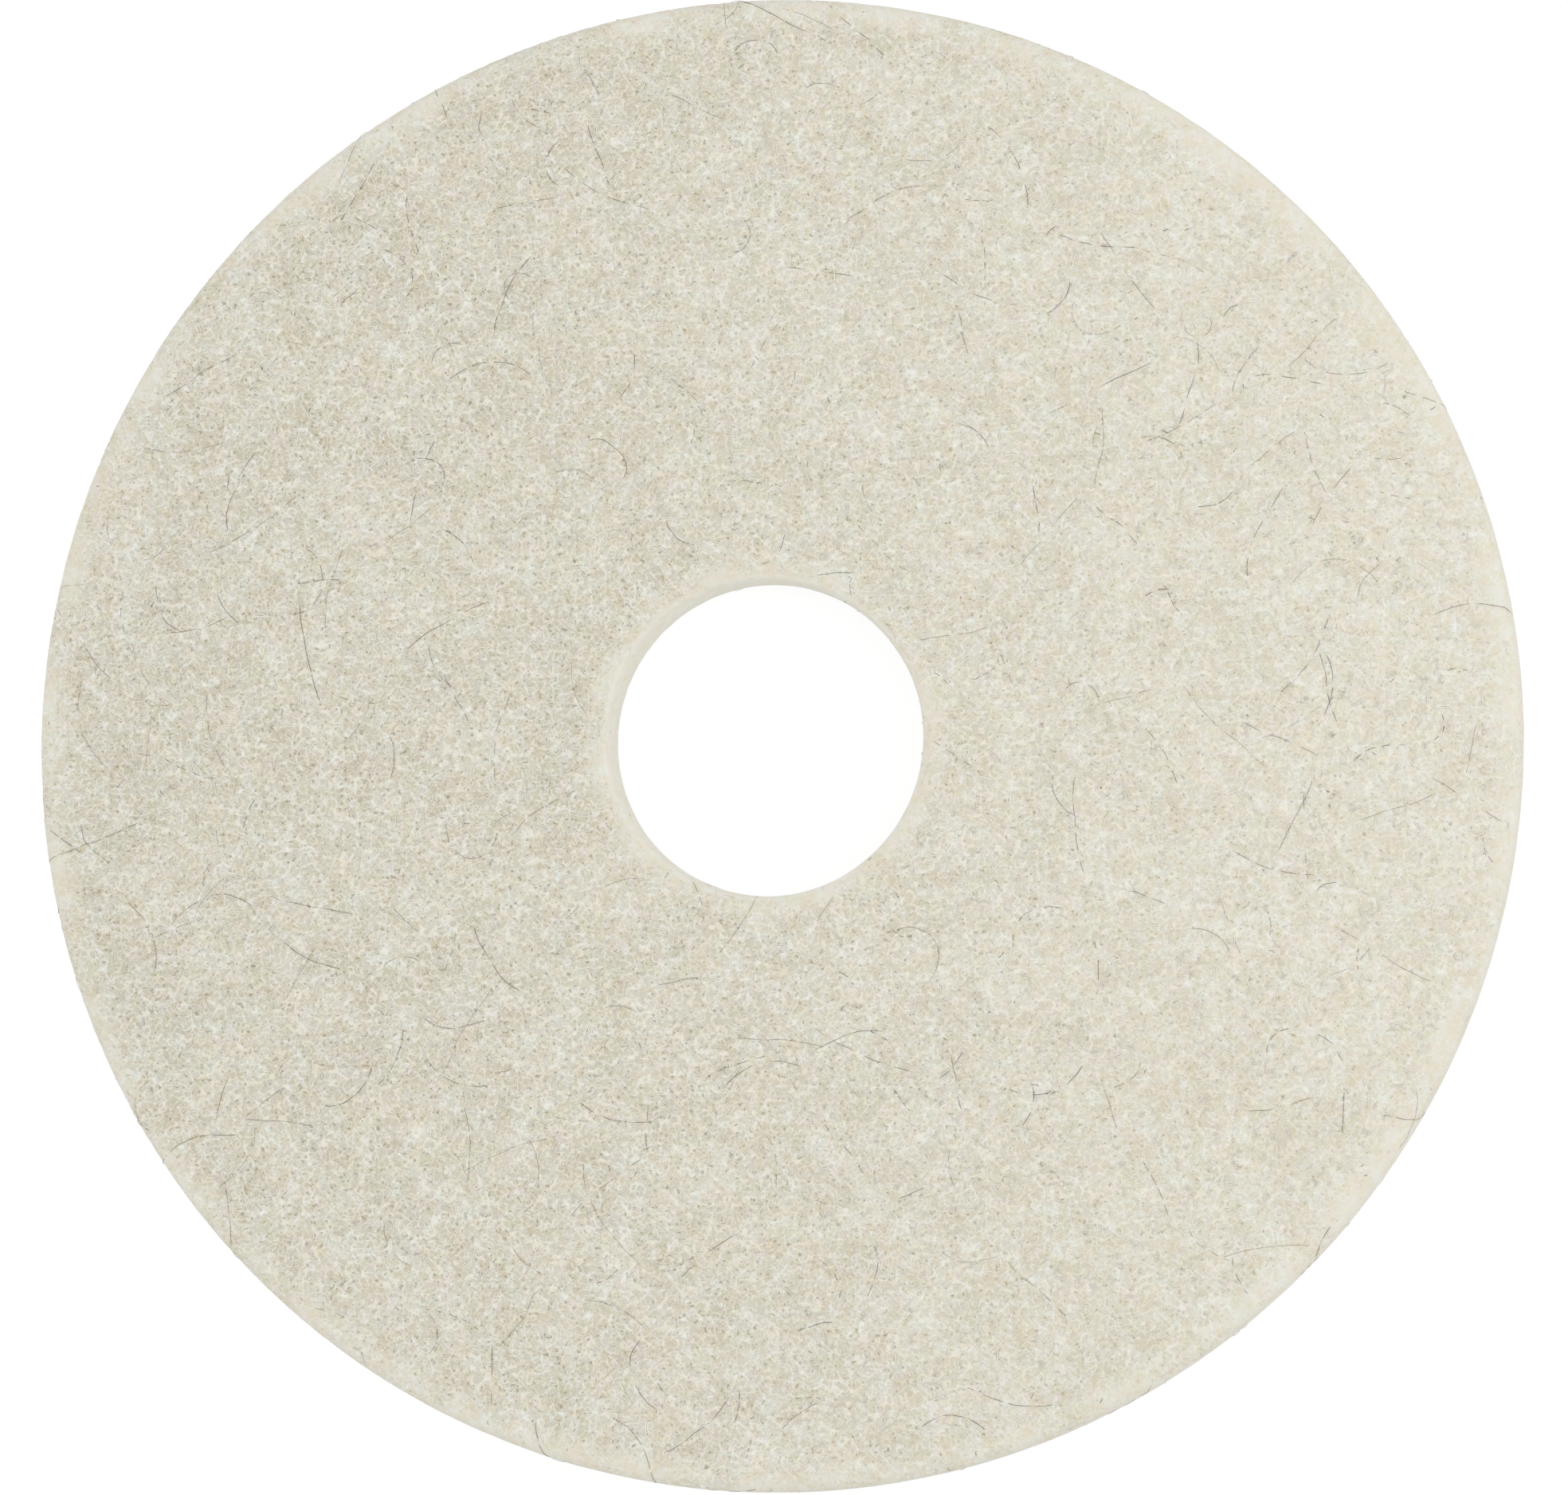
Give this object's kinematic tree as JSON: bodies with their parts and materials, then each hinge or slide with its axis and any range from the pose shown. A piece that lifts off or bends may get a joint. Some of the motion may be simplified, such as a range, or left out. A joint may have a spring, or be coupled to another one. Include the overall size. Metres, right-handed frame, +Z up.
{
  "type": "floor polishing pad",
  "caption": "Thick round pad of bonded natural hair and polyester web with a centre hole, driven flat under a floor machine to polish hard floors.",
  "frame": {"origin": "centre of the face that the pad lies on, on the axis of the centre hole", "axes": "+Z up along the pad's axis, from the working face to the driver face; X and Y lie in the pad's plane, and the pad is round about Z"},
  "size_m": [0.406, 0.406, 0.022],
  "materials": {
    "hair_web": "matte"
  },
  "bodies": {
    "root": {"pad": "hair_web"}
  },
  "joints": []
}
